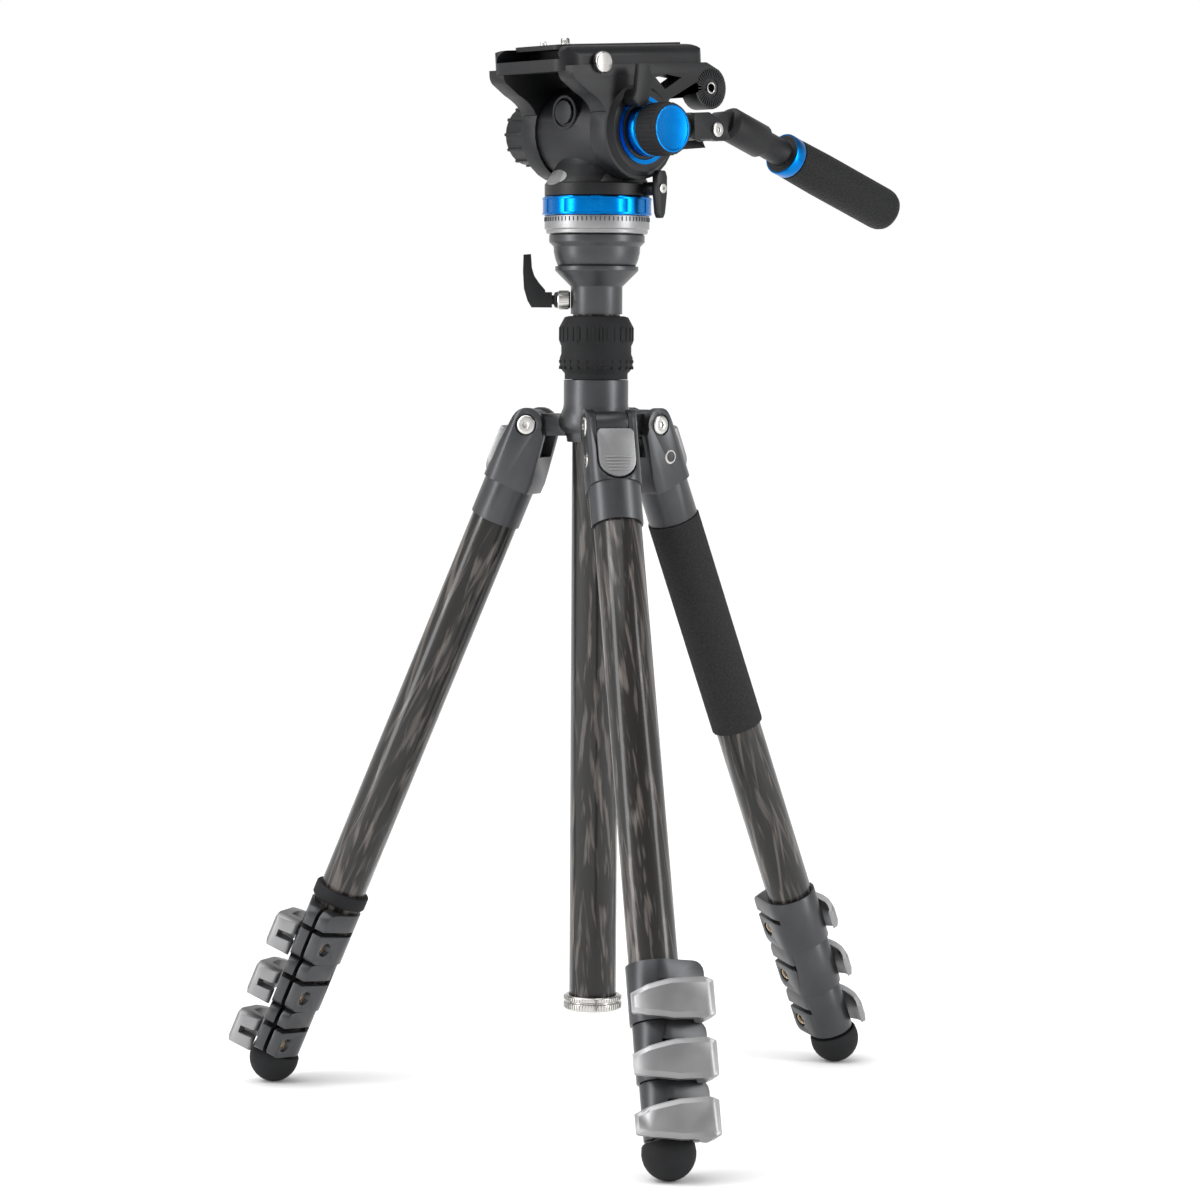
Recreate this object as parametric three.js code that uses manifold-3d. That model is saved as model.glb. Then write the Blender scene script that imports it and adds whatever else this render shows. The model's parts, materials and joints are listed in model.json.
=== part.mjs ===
// A video tripod: three four-section carbon legs with flip locks, a sliding centre column with a
// levelling half ball, and a fluid pan-and-tilt head with a pan bar. Millimetres, +Z up, lens to -Y.
import * as THREE from 'three';
import { mergeVertices } from 'three/addons/utils/BufferGeometryUtils.js';
import Module from 'manifold-3d';

// --- Driving dimensions -----------------------------------------------------------------------------
const GAP = 0.3;
const ROUND = 24;
const TUBE_SIDES = [20, 16, 16, 16];

const HINGE_RADIUS = 44.4;
const HINGE_HEIGHT = 466.4;
const LEG_ANGLE = THREE.MathUtils.degToRad(23.2);
const LEGS = [
  { name: 'left_leg', azimuth: -31.75, sleeve: false },
  { name: 'rear_leg', azimuth: 88.25, sleeve: true },
  { name: 'right_leg', azimuth: 208.25, sleeve: false },
];

const TUBE_RADII = [16.0, 14.2, 12.4, 10.6];
const TUBE_WALL = 1.5;
const TUBE_TOPS = [46, 80, 84, 88];
const TUBE_IN_CLAMP = 27;
const CLAMPS = [
  { top: 368.7, height: 38.2, radius: 18.2 },
  { top: 407.3, height: 37.3, radius: 16.8 },
  { top: 445.0, height: 36.4, radius: 15.3 },
];
const FLANGE_REACH = 12.3;
const FLANGE_HALF = 8.4;
const LEVER_BLADE = { top: -14.4, height: 26.4, length: 52.2, standOff: 11.4 };
const FOOT_RADIUS = 17.4;
const FOOT_CENTRE_HEIGHT = 16.8;

const SHOULDER_END = 70.8;
const SOCKET_RADIUS = 17.4;
const EAR_RADIUS = 11.5;
const EAR_GAP_HALF = 11.25;
const TAB_HALF_WIDTH = 12.25;
const TAB_TOP = -8.4;
const TAB_BOTTOM = -42.3;
const SLEEVE = { from: 71.3, to: 232, radius: 18.3 };

const COLUMN_RADIUS = 16.1;
const COLUMN_WALL = 2;
const COLLAR_RADIUS = 21.9;
const BALL_CENTRE = 587;
const BALL_RADIUS = 29.4;
const BALL_PLAY = 0.6;
const LEVEL_LEVER_AZIMUTH = 226.5;
const LEVEL_LEVER_HEIGHT = 551;

const TILT_AXIS_HEIGHT = 664;
const REST_TILT = THREE.MathUtils.degToRad(4);
const DRUM_HALF = 26.4;
const CHEEK_INNER = 26.9;
const CHEEK_OUTER = 41;
const TRUNNION_RADIUS = 19.5;
const SHELL_HALF = 40;
const ROSETTE = { y: 69, z: 690.7, radius: 14.6 };
const BAR_PLANE = -47;
const BAR_PIVOT = { y: 153.2, z: 663 };
const BAR_SLOPE = 23;
const BAR_OFFSET = 12;

// --- Geometry helpers -------------------------------------------------------------------------------
const wasm = await Module();
wasm.setup();

// A closed three.js geometry as a solid, with its faces turned outwards.
function toSolid(geometry) {
  const bare = geometry.index ? geometry.toNonIndexed() : geometry.clone();
  bare.deleteAttribute('normal');
  bare.deleteAttribute('uv');
  const merged = mergeVertices(bare, 1e-3);
  const at = merged.attributes.position;
  const corners = [];
  let volume = 0;
  const a = new THREE.Vector3();
  const b = new THREE.Vector3();
  const c = new THREE.Vector3();
  for (let i = 0; i < merged.index.count; i += 3) {
    const [p, q, r] = [0, 1, 2].map((k) => merged.index.getX(i + k));
    if (p === q || q === r || r === p) continue;
    corners.push(p, q, r);
    volume += a.fromBufferAttribute(at, p).dot(
      b.fromBufferAttribute(at, q).cross(c.fromBufferAttribute(at, r)));
  }
  if (volume < 0) {
    for (let i = 0; i < corners.length; i += 3) {
      [corners[i + 1], corners[i + 2]] = [corners[i + 2], corners[i + 1]];
    }
  }
  return new wasm.Manifold(new wasm.Mesh({
    numProp: 3,
    vertProperties: new Float32Array(at.array),
    triVerts: new Uint32Array(corners),
  }));
}

// A solid as a flat-shaded three.js geometry.
function toGeometry(solid) {
  const mesh = solid.getMesh();
  const indexed = new THREE.BufferGeometry();
  const points = [];
  for (let i = 0; i < mesh.vertProperties.length; i += mesh.numProp) {
    points.push(...mesh.vertProperties.slice(i, i + 3));
  }
  indexed.setAttribute('position', new THREE.Float32BufferAttribute(points, 3));
  indexed.setIndex([...mesh.triVerts]);
  const flat = indexed.toNonIndexed();
  flat.computeVertexNormals();
  return flat;
}

function join(first, ...others) {
  return toGeometry(others.reduce((sum, g) => sum.add(toSolid(g)), toSolid(first)));
}

function cut(body, ...tools) {
  return toGeometry(tools.reduce((rest, g) => rest.subtract(toSolid(g)), toSolid(body)));
}

function common(first, ...others) {
  return toGeometry(others.reduce((rest, g) => rest.intersect(toSolid(g)), toSolid(first)));
}

// Swaps the axes so that what ran along Z runs along X: X becomes Y and Y becomes Z.
function layAlongX(geometry) {
  return geometry.applyMatrix4(new THREE.Matrix4().makeBasis(
    new THREE.Vector3(0, 1, 0), new THREE.Vector3(0, 0, 1), new THREE.Vector3(1, 0, 0)));
}

// Swaps the axes so that what ran along Z runs along Y: X becomes Z and Y becomes X.
function layAlongY(geometry) {
  return geometry.applyMatrix4(new THREE.Matrix4().makeBasis(
    new THREE.Vector3(0, 0, 1), new THREE.Vector3(1, 0, 0), new THREE.Vector3(0, 1, 0)));
}

// A solid of revolution about Z from [radius, height] points.
function turned(points, segments = ROUND) {
  const profile = points.map(([r, z]) => new THREE.Vector2(r, z));
  return new THREE.LatheGeometry(profile, segments).rotateX(Math.PI / 2);
}

// A tube about Z.
function tube(outer, inner, low, high, segments) {
  return turned([[inner, low], [outer, low], [outer, high], [inner, high], [inner, low]], segments);
}

function rod(radius, low, high, segments = 18) {
  return turned([[0, low], [radius, low], [radius, high], [0, high]], segments);
}

function block([x0, x1], [y0, y1], [z0, z1]) {
  return new THREE.BoxGeometry(x1 - x0, y1 - y0, z1 - z0)
    .translate((x0 + x1) / 2, (y0 + y1) / 2, (z0 + z1) / 2);
}

// A plate of the given outline, from low to high along Z.
function plate(outline, low, high, curveSegments = 5) {
  return new THREE.ExtrudeGeometry(outline, { depth: high - low, bevelEnabled: false, curveSegments })
    .translate(0, 0, low);
}

function polygon(points) {
  return new THREE.Shape(points.map(([x, y]) => new THREE.Vector2(x, y)));
}

// A rectangle with its own radius at each corner: [low x, low y], [high x, low y], then round.
function roundedBox([x0, x1], [y0, y1], radii) {
  const [a, b, c, d] = radii;
  const shape = new THREE.Shape();
  shape.moveTo(x0 + a, y0);
  shape.lineTo(x1 - b, y0);
  if (b > 0) shape.absarc(x1 - b, y0 + b, b, -Math.PI / 2, 0, false);
  shape.lineTo(x1, y1 - c);
  if (c > 0) shape.absarc(x1 - c, y1 - c, c, 0, Math.PI / 2, false);
  shape.lineTo(x0 + d, y1);
  if (d > 0) shape.absarc(x0 + d, y1 - d, d, Math.PI / 2, Math.PI, false);
  shape.lineTo(x0, y0 + a);
  if (a > 0) shape.absarc(x0 + a, y0 + a, a, Math.PI, Math.PI * 1.5, false);
  return shape;
}

// --- Materials --------------------------------------------------------------------------------------
function finish(color, roughness, metalness) {
  return new THREE.MeshStandardMaterial({ color, roughness, metalness });
}

const BLACK_METAL = finish(0x2b2c2f, 0.45, 0.6);
const GREY_METAL = finish(0x55575b, 0.4, 0.7);
const LIGHT_METAL = finish(0x9b9da0, 0.4, 0.7);
const SILVER = finish(0xb9b8b4, 0.3, 0.9);
const BLUE_METAL = finish(0x0a86d6, 0.3, 0.8);
const CARBON = finish(0x2a2827, 0.35, 0.1);
const RUBBER = finish(0x242528, 0.85, 0);
const FOAM = finish(0x202123, 0.95, 0);
const HEAD_PAINT = finish(0x26272a, 0.5, 0.3);

function addPart(group, name, geometry, material) {
  const part = new THREE.Mesh(geometry, material);
  part.name = name;
  group.add(part);
  return part;
}

// --- Legs: local frame with the hinge at the origin, -Z down the leg, +X outwards, +Y to the clamp's gap
function legShoulder() {
  const side = new THREE.Shape();
  side.moveTo(SOCKET_RADIUS, -SHOULDER_END);
  side.lineTo(SOCKET_RADIUS, -45);
  side.lineTo(EAR_RADIUS, 2);
  side.absarc(0, 0, EAR_RADIUS, 0.17, Math.PI - 0.1, false);
  side.lineTo(-14, -2);
  side.lineTo(-19, -36);
  side.lineTo(-18.8, -42);
  side.lineTo(-SOCKET_RADIUS, -58);
  side.lineTo(-SOCKET_RADIUS, -SHOULDER_END);
  const profile = plate(side, -EAR_RADIUS * 1.52, EAR_RADIUS * 1.52);
  const upright = profile.applyMatrix4(new THREE.Matrix4().makeBasis(
    new THREE.Vector3(1, 0, 0), new THREE.Vector3(0, 0, 1), new THREE.Vector3(0, -1, 0)));
  const plan = plate(roundedBox([-24, SOCKET_RADIUS], [-SOCKET_RADIUS, SOCKET_RADIUS],
    [14, 12, 12, 14]), -44, 14, 4);
  const socket = rod(SOCKET_RADIUS, -SHOULDER_END, -43.9, ROUND);
  const body = common(upright, join(plan, socket));
  const tabShape = new THREE.Shape();
  const slot = TAB_HALF_WIDTH + 1;
  tabShape.moveTo(-slot, 16);
  tabShape.lineTo(-slot, TAB_BOTTOM - 1.5 + slot);
  tabShape.absarc(0, TAB_BOTTOM - 1.5 + slot, slot, Math.PI, Math.PI * 2, false);
  tabShape.lineTo(slot, 16);
  const recess = layAlongX(plate(tabShape, 10.2, 30));
  const earGap = block([-30, 30], [-EAR_GAP_HALF, EAR_GAP_HALF], [-17.5, 20]);
  const bore = rod(TUBE_RADII[0] + GAP, -SHOULDER_END - 1, -TUBE_TOPS[0] + GAP, TUBE_SIDES[0]);
  const counterbore = layAlongY(rod(7.8, 15.2, 20, 12));
  const pin = layAlongY(rod(3, -EAR_GAP_HALF - 1, EAR_GAP_HALF + 1, 8));
  const hollow = cut(body, recess, earGap, bore, counterbore, counterbore.clone().rotateZ(Math.PI));
  return join(hollow, pin);
}

// The spring-loaded tab that stops the leg at its set angles.
function angleTab() {
  const outline = new THREE.Shape();
  const r = TAB_HALF_WIDTH;
  outline.moveTo(-r, TAB_TOP - 3);
  outline.absarc(-r + 3, TAB_TOP - 3, 3, Math.PI, Math.PI / 2, true);
  outline.absarc(r - 3, TAB_TOP - 3, 3, Math.PI / 2, 0, true);
  outline.lineTo(r, TAB_BOTTOM + r);
  outline.absarc(0, TAB_BOTTOM + r, r, 0, -Math.PI, true);
  return layAlongX(plate(outline, 13.2, 18.2));
}

function legTube(index) {
  const radius = TUBE_RADII[index];
  const bottoms = [...CLAMPS.map((clamp) => clamp.top + TUBE_IN_CLAMP), 497];
  return tube(radius, radius - TUBE_WALL, -bottoms[index], -TUBE_TOPS[index] - GAP, TUBE_SIDES[index]);
}

function foamSleeve() {
  return tube(SLEEVE.radius, TUBE_RADII[0] + GAP, -SLEEVE.to, -SLEEVE.from, TUBE_SIDES[0]);
}

// A split clamp: its upper collar holds the tube above, its lower lugs squeeze the tube below.
function clampBody(index) {
  const { top, height, radius } = CLAMPS[index];
  const reach = radius + FLANGE_REACH;
  const toCorner = Math.atan2(reach, FLANGE_HALF);
  const touch = toCorner - Math.acos(radius / Math.hypot(reach, FLANGE_HALF));
  const plan = new THREE.Shape();
  plan.moveTo(FLANGE_HALF, reach);
  plan.lineTo(-FLANGE_HALF, reach);
  plan.absarc(0, 0, radius, Math.PI - touch, Math.PI * 2 + touch, false);
  const body = plate(plan, -height, 0, 9);
  const side = layAlongX(plate(
    roundedBox([-30, reach], [-height, 0], [0, 6, 7, 0]), -30, 30, 2));
  const upper = rod(TUBE_RADII[index] + GAP, -TUBE_IN_CLAMP - GAP, 1, TUBE_SIDES[index]);
  const lower = rod(TUBE_RADII[index + 1] + GAP, -height - 1, 1, TUBE_SIDES[index + 1]);
  const gap = block([-1.3, 1.3], [0, 40], [-height - 1, 1]);
  const slit = block([-30, 30], [-1.5, 40], [-16.6, -12.9]);
  const boltSeat = layAlongX(rod(5.3, -25, -5.4, 10)).translate(0, radius + 3.4, -26.5);
  const solid = cut(common(body, side), upper, lower, gap, slit, boltSeat);
  return solid.translate(0, 0, -top);
}

// The lever's pivot, beside the clamp's flange.
function leverPivot(index) {
  return { x: 17, y: CLAMPS[index].radius + 6.8 };
}

// A flip lever: a cam round the pivot, and an arm that wraps across the clamp's outer face.
function clampLever(index) {
  const { top, radius } = CLAMPS[index];
  const pivot = leverPivot(index);
  const outer = pivot.x + LEVER_BLADE.standOff;
  const heel = radius + FLANGE_REACH + 1.4;
  const tip = heel - LEVER_BLADE.length;
  const plan = new THREE.Shape();
  plan.moveTo(pivot.x + 2, pivot.y + 5.6);
  plan.absarc(pivot.x, pivot.y, 5.9, Math.PI / 2, Math.PI * 1.5, false);
  plan.lineTo(outer - 6, pivot.y - 7);
  plan.quadraticCurveTo(radius + 5.2, 0, radius + 3, -9);
  plan.quadraticCurveTo(radius + 1, -16, radius - 4.5, tip + 1.5);
  plan.lineTo(radius - 1.5, tip);
  plan.quadraticCurveTo(radius + 8, -14, radius + 9.8, -2);
  plan.lineTo(outer, heel - 4);
  plan.lineTo(outer - 2, heel);
  plan.lineTo(pivot.x + 4, heel);
  const low = LEVER_BLADE.top - LEVER_BLADE.height;
  const body = plate(plan, low, LEVER_BLADE.top, 3);
  const middle = (low + LEVER_BLADE.top) / 2;
  const half = LEVER_BLADE.height / 2;
  const arm = layAlongX(plate(polygon([
    [heel + 1, middle - half], [heel + 1, middle + half], [4, middle + half - 0.4],
    [tip + 9, middle + half - 3.5], [tip - 0.5, middle + 6], [tip - 0.5, middle - 6],
    [tip + 9, middle - half + 3.5], [4, middle - half + 0.4],
  ]), 0, 60));
  const window = block([pivot.x - 6.5, pivot.x + 5.5], [pivot.y - 4, heel + 5], [middle - 2.6, middle + 2.6]);
  return cut(common(body, arm), window).translate(0, 0, -top);
}

function foot() {
  const centre = (HINGE_HEIGHT - FOOT_CENTRE_HEIGHT) / Math.cos(LEG_ANGLE);
  const bore = TUBE_RADII[3] + GAP;
  const dome = [];
  const steps = 3;
  for (let i = 1; i < steps; i += 1) {
    const turn = (i / steps) * (Math.PI / 2);
    dome.push([FOOT_RADIUS * Math.cos(turn), -centre - FOOT_RADIUS * Math.sin(turn)]);
  }
  const cup = turned([
    [0, -497.4], [bore, -497.4], [bore, -483.2], [16, -483.2], [16.9, -484.4], [FOOT_RADIUS, -centre],
    ...dome, [0, -centre - FOOT_RADIUS],
  ], TUBE_SIDES[3]);
  const ground = block([100, 320], [-60, 60], [-60, 0])
    .translate(-HINGE_RADIUS, 0, -HINGE_HEIGHT)
    .rotateY(LEG_ANGLE);
  return cut(cup, ground);
}

function addLeg(model, { name, azimuth, sleeve }) {
  const radial = new THREE.Group();
  radial.rotation.z = THREE.MathUtils.degToRad(azimuth);
  const leg = new THREE.Group();
  leg.position.set(HINGE_RADIUS, 0, HINGE_HEIGHT);
  leg.rotation.y = -LEG_ANGLE;
  radial.add(leg);
  model.add(radial);
  addPart(leg, `${name}_shoulder`, legShoulder(), GREY_METAL);
  addPart(leg, `${name}_angle_tab`, angleTab(), LIGHT_METAL);
  TUBE_RADII.forEach((_, i) => addPart(leg, `${name}_tube_${i + 1}`, legTube(i), CARBON));
  CLAMPS.forEach((_, i) => {
    addPart(leg, `${name}_clamp_${i + 1}`, clampBody(i), GREY_METAL);
    addPart(leg, `${name}_lever_${i + 1}`, clampLever(i), LIGHT_METAL);
  });
  addPart(leg, `${name}_foot`, foot(), RUBBER);
  if (sleeve) addPart(leg, `${name}_foam_sleeve`, foamSleeve(), FOAM);
}

// --- Centre: hub, lock collar, column and levelling ball ---------------------------------------------
function hub() {
  const bore = COLUMN_RADIUS + 0.35;
  const core = turned([
    [bore, 455], [19.5, 455], [20.5, 461], [23.5, 463], [25.2, 466], [25.2, 470.5], [24, 474],
    [22.3, 478], [COLLAR_RADIUS, 481], [COLLAR_RADIUS, 497], [bore, 497], [bore, 455],
  ]);
  const arms = LEGS.map(({ azimuth }) => {
    const lug = layAlongY(rod(10.4, -EAR_GAP_HALF + GAP, EAR_GAP_HALF - GAP, 14))
      .translate(HINGE_RADIUS, 0, HINGE_HEIGHT);
    const link = block([19, HINGE_RADIUS], [-8.4, 8.4], [459, 474]);
    const pinHole = layAlongY(rod(3.4, -20, 20, 8)).translate(HINGE_RADIUS, 0, HINGE_HEIGHT);
    return cut(join(lug, link), pinHole).rotateZ(THREE.MathUtils.degToRad(azimuth));
  });
  return cut(join(core, ...arms), rod(bore, 400, 520, ROUND));
}

// The rubber-gripped nut that closes the collet on the column.
function columnLockCollar() {
  const bore = COLUMN_RADIUS + 0.35;
  const body = turned([
    [bore, 497.4], [21.4, 497.4], [21.4, 501.4], [23.2, 503.4], [24.8, 506], [24.8, 512], [23.8, 514.4],
    [23.8, 520], [25, 522.6], [25, 533], [21.6, 539.4], [18.6, 540.2], [bore, 540.2], [bore, 497.4],
  ]);
  const flutes = [];
  const count = 10;
  for (let i = 0; i < count; i += 1) {
    flutes.push(rod(2, 521.5, 545, 6).translate(26.2, 0, 0).rotateZ((i / count) * Math.PI * 2));
  }
  return cut(body, ...flutes);
}

// Hollow column, its neck and the cup that the levelling ball sits in.
function centreColumn() {
  const inner = COLUMN_RADIUS - COLUMN_WALL;
  const seat = BALL_RADIUS + BALL_PLAY;
  const rim = 573.6;
  const steps = 4;
  const lowest = Math.asin(inner / seat);
  const highest = Math.acos((BALL_CENTRE - rim) / seat);
  const cup = [];
  for (let i = 0; i <= steps; i += 1) {
    const turn = highest + (lowest - highest) * (i / steps);
    cup.push([seat * Math.sin(turn), BALL_CENTRE - seat * Math.cos(turn)]);
  }
  const outline = [
    [inner, 69], [COLUMN_RADIUS, 69], [COLUMN_RADIUS, 541.4], [16.6, 543], [17.4, 543.6], [17.4, 560.3],
    [27.2, 570], [28.05, 570.9], [28.05, rim], ...cup, [inner, 69],
  ];
  return turned(outline);
}

function columnEndRing() {
  const ring = turned([
    [0, 66.2], [18.6, 66.2], [19.6, 67.2], [19.6, 71], [18, 71.6], [18, 72.4], [19.6, 73], [19.6, 75.4],
    [18.6, 76.2], [COLUMN_RADIUS + GAP, 76.2], [COLUMN_RADIUS + GAP, 68.7], [0, 68.7],
  ]);
  return ring;
}

// The shoe under the ball. It turns one way in the cup, and the ball turns the other way on it.
function levelClampShoe() {
  return turned([[0, 560.8], [7, 560.8], [10, 562.4], [10, 566.6], [0, 567.2]], 24);
}

function levelBall() {
  const points = [[0, 570.6], [23.6, 570.6]];
  const steps = 4;
  const start = Math.asin((570.6 - BALL_CENTRE) / BALL_RADIUS);
  for (let i = 0; i <= steps; i += 1) {
    const turn = start * (1 - i / steps);
    points.push([BALL_RADIUS * Math.cos(turn), BALL_CENTRE + BALL_RADIUS * Math.sin(turn)]);
  }
  points.push([32.4, 590], [32.4, 594.4], [31.8, 595.2], [0, 595.2]);
  return turned(points);
}

// The bent handle of the levelling lock, on its screw through the neck's boss.
function levelLever() {
  const handle = polygon([
    [30.2, -5.2], [44.1, -5.2], [46.8, -0.6], [49.2, 7.4], [49.9, 19], [49.6, 30.4], [44.6, 30.8],
    [43.9, 21.6], [42.3, 16.3], [39.3, 11.8], [34.8, 6.6], [34.8, 5.2], [30.2, 5.2],
  ]);
  const blade = plate(handle, -4, 4).applyMatrix4(new THREE.Matrix4().makeBasis(
    new THREE.Vector3(1, 0, 0), new THREE.Vector3(0, 0, 1), new THREE.Vector3(0, -1, 0)));
  const stem = layAlongX(turned([
    [0, 17.8], [5.6, 17.8], [5.6, 26.4], [5, 28.4], [3.2, 29], [3.2, 30.6], [0, 30.6],
  ], 20));
  return join(blade, stem)
    .translate(0, 0, LEVEL_LEVER_HEIGHT)
    .rotateZ(THREE.MathUtils.degToRad(LEVEL_LEVER_AZIMUTH));
}

// --- Fluid head --------------------------------------------------------------------------------------
function baseRing() {
  return turned([
    [0, 595.5], [33.6, 595.5], [34.4, 596], [34.4, 598.2], [35.5, 598.8], [35.5, 607.5], [0, 607.5],
  ], 32);
}

function panDragRing() {
  const body = turned([[0, 607.8], [36, 607.8], [36.8, 608.6], [36.8, 619.6], [36, 620.4], [0, 620.4]], 36);
  const grooves = [];
  const groups = 12;
  for (let i = 0; i < groups; i += 1) {
    grooves.push(block([36.1, 40], [-3.2, 3.2], [600, 630]).rotateZ(((i + 0.5) / groups) * Math.PI * 2));
  }
  return cut(body, ...grooves);
}

// The pan housing with the tilt drum and its two trunnions, which stand still while the carriage tilts.
function panBody() {
  const skirt = turned([
    [0, 620.7], [35.2, 620.7], [35.6, 621.2], [35.6, 628.8], [35, 629.6], [0, 630.6],
  ]);
  const shoulder = common(
    turned([[0, 625], [35, 625], [34.6, 630], [32.5, 634], [28, 641], [24, 650], [0, 664]]),
    block([-DRUM_HALF, DRUM_HALF], [-40, 40], [620, 664]));
  const drum = layAlongX(turned([
    [0, -45.2], [TRUNNION_RADIUS, -45.2], [TRUNNION_RADIUS, -DRUM_HALF], [31.4, -DRUM_HALF],
    [31.4, DRUM_HALF], [TRUNNION_RADIUS, DRUM_HALF], [TRUNNION_RADIUS, 45.2], [0, 45.2],
  ])).translate(0, 0, TILT_AXIS_HEIGHT);
  const boss = layAlongY(rod(8, -33, -28, 12)).translate(1, 0, 676);
  const leverBoss = layAlongX(rod(4.6, 30, 43.6, 16)).translate(0, 13.7, 625.6);
  return join(skirt, shoulder, drum, boss, leverBoss);
}

function panLever() {
  const outline = polygon([
    [8.9, 633.5], [10.6, 637.6], [16.8, 637.6], [18.5, 633.5], [18.5, 622], [16.8, 609], [15.2, 605.8],
    [12.2, 605.8], [10.6, 609], [8.9, 622],
  ]);
  return layAlongX(plate(outline, 43.9, 49));
}

// The ribbed knob that sets the counterbalance spring.
function counterbalanceKnob() {
  const body = layAlongX(turned([
    [0, -72], [18.6, -72], [20.2, -70], [20.2, -50], [21, -48.6], [21, -45.6], [0, -45.6],
  ]));
  const ribs = [];
  const count = 12;
  for (let i = 0; i < count; i += 1) {
    ribs.push(block([-70.6, -49.5], [-1, 1], [19, 21.2]).rotateX((i / count) * Math.PI * 2));
  }
  return join(body, ...ribs).translate(0, 0, TILT_AXIS_HEIGHT);
}

// The tilt drag knob: a plain collar and a ribbed cap.
function dragKnob() {
  const body = layAlongX(turned([
    [0, 45.6], [17.8, 45.6], [17.8, 53], [16.5, 53.6], [16.5, 71.6],
    [15.6, 72.5], [14.4, 72.5], [14, 72], [0, 72],
  ]));
  return body.translate(0, 0, TILT_AXIS_HEIGHT);
}

// One side plate of the carriage, as its outline in the plane across the tilt axis.
function cheekOutline() {
  const ring = 32.8;
  const centre = TILT_AXIS_HEIGHT;
  const front = Math.atan2(13.6, -31.3);
  const shape = new THREE.Shape();
  shape.moveTo(-58.8, 708);
  shape.lineTo(-58.8, 703.8);
  shape.quadraticCurveTo(-58.4, 700.4, -55.8, 698.4);
  shape.lineTo(-46, 691.2);
  shape.quadraticCurveTo(-33, 684.5, -31.3, 677.6);
  shape.absarc(0, centre, ring, front, Math.PI * 2 + 0.56, false);
  shape.lineTo(29.4, 684);
  shape.quadraticCurveTo(44, 690, 55, 694);
  shape.absarc(ROSETTE.y, ROSETTE.z, ROSETTE.radius, Math.PI * 0.9, Math.PI * 2.3, false);
  shape.lineTo(66, 708);
  const window = new THREE.Path();
  window.moveTo(17, 698.6);
  window.lineTo(27, 700.6);
  window.lineTo(41.5, 698.2);
  window.lineTo(25.4, 690.6);
  window.closePath();
  shape.holes.push(window);
  return shape;
}

// The tilting carriage: two side plates under the top shell, with the camera plate's channel.
function tiltCarriage() {
  const cheeks = [-1, 1].map((side) => {
    const inner = side > 0 ? CHEEK_INNER : -CHEEK_OUTER;
    const outer = side > 0 ? CHEEK_OUTER : -CHEEK_INNER;
    return layAlongX(plate(cheekOutline(), inner, outer, 9));
  });
  const rings = [-1, 1].map((side) => layAlongX(turned([
    [TRUNNION_RADIUS, 40 * side], [31.6, 40 * side], [27.8, 44.6 * side], [TRUNNION_RADIUS, 45 * side],
    [TRUNNION_RADIUS, 40 * side],
  ])).translate(0, 0, TILT_AXIS_HEIGHT));
  const plan = plate(roundedBox([-SHELL_HALF, SHELL_HALF], [-62, 68], [15, 15, 11, 11]), 700, 730, 4);
  const front = layAlongX(plate(
    roundedBox([-62, 68], [704.6, 721], [0, 0, 13, 9]), -60, 60, 3));
  const across = layAlongY(plate(
    roundedBox([700, 721], [-SHELL_HALF, SHELL_HALF], [0, 9, 9, 0]), -80, 80, 4));
  const shell = common(plan, front, across);
  const channel = layAlongY(plate(polygon([
    [712.6, -31.2], [712.6, 31.2], [722, 27.6], [722, -27.6],
  ]), -70, 60.5));
  const bore = layAlongX(rod(TRUNNION_RADIUS + 0.35, -60, 60, ROUND)).translate(0, 0, TILT_AXIS_HEIGHT);
  const insert = layAlongX(rod(4.1, 30, 60, 16)).translate(0, ROSETTE.y, ROSETTE.z);
  return cut(join(cheeks[0], cheeks[1], ...rings, shell), channel, bore, insert);
}

function tiltLever() {
  const hubY = -12;
  const hubZ = 685.6;
  const stem = layAlongX(turned([
    [0, 45.4], [6.2, 45.4], [6.2, 53.8], [0, 53.8],
  ], 16)).translate(0, hubY, hubZ);
  const blade = new THREE.Shape();
  blade.moveTo(-13.4, 707.6);
  blade.lineTo(-16.6, 692);
  blade.absarc(hubY, hubZ, 6.4, 2.5, Math.PI * 2 - 0.1, false);
  blade.lineTo(-1.4, 696);
  blade.lineTo(-4.6, 707.6);
  return join(stem, layAlongX(plate(blade, 53.4, 57.2, 6)));
}

// The sliding camera plate: a dovetail bar under a flat pad.
function cameraPlate() {
  const bar = layAlongY(plate(polygon([
    [713, -30.6], [713, 30.6], [719.6, 28.1], [719.6, -28.1],
  ]), -32, 58));
  const pad = plate(roundedBox([-26.8, 26.8], [-53, 58], [11, 11, 4, 4]), 719.2, 722.4, 4);
  return join(bar, pad);
}

function plateLockKnob() {
  return layAlongX(turned([
    [0, 41.3], [7.2, 41.3], [7.2, 45], [6.4, 45.8], [0, 45.8],
  ])).translate(0, -33.7, 709.4);
}

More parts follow.
